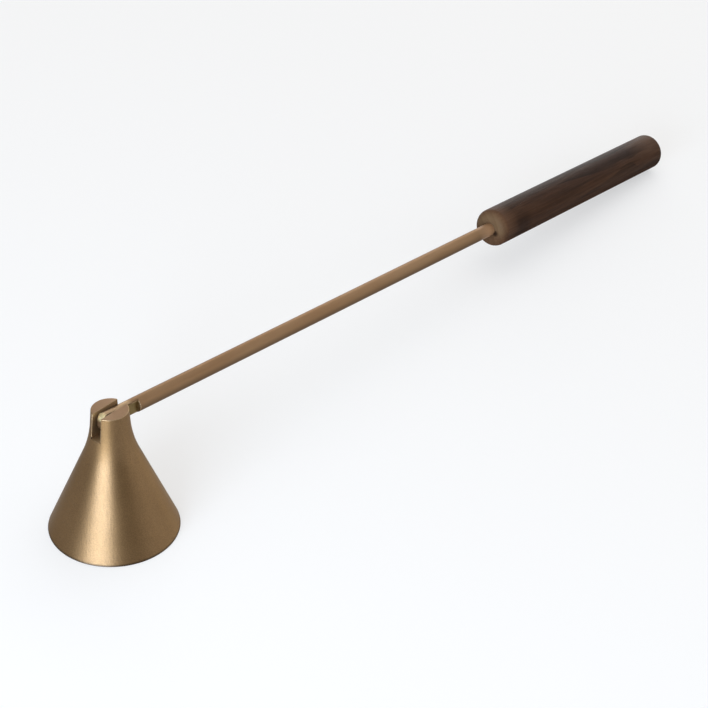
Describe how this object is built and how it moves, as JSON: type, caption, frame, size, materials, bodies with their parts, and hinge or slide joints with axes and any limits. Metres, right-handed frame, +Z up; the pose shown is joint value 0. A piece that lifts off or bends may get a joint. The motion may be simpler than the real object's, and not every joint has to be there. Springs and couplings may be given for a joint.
{
  "type": "candle snuffer",
  "caption": "Candle snuffer: a conical brass bell hinged to a slim brass rod with a round turned wooden handle. The bell swings on its pin and covers a flame.",
  "frame": {"origin": "centre of the bell's mouth, on the plane of its rim, which is the surface that the snuffer stands on", "axes": "+Z up along the bell's axis, +X from the bell towards the handle, the arm in the XZ plane"},
  "size_m": [0.3301, 0.0404, 0.0435],
  "materials": {
    "bell_brass": "satin, turned and brushed",
    "pin_brass": "satin",
    "rod_brass": "satin, brushed along its length",
    "handle_wood": "dark walnut, oiled",
    "glue": "set epoxy glue, hidden"
  },
  "bodies": {
    "bell": {"bell": "bell_brass", "hinge_pin": "pin_brass"},
    "arm": {"rod": "rod_brass", "handle": "handle_wood", "handle_bond": "glue"}
  },
  "joints": [
    {"name": "bell_hinge", "type": "hinge", "parent": "bell", "child": "arm", "pos_m": [0, 0, 0.04068], "axis": [0, -1, 0], "range_deg": [-16, 208.5]}
  ]
}
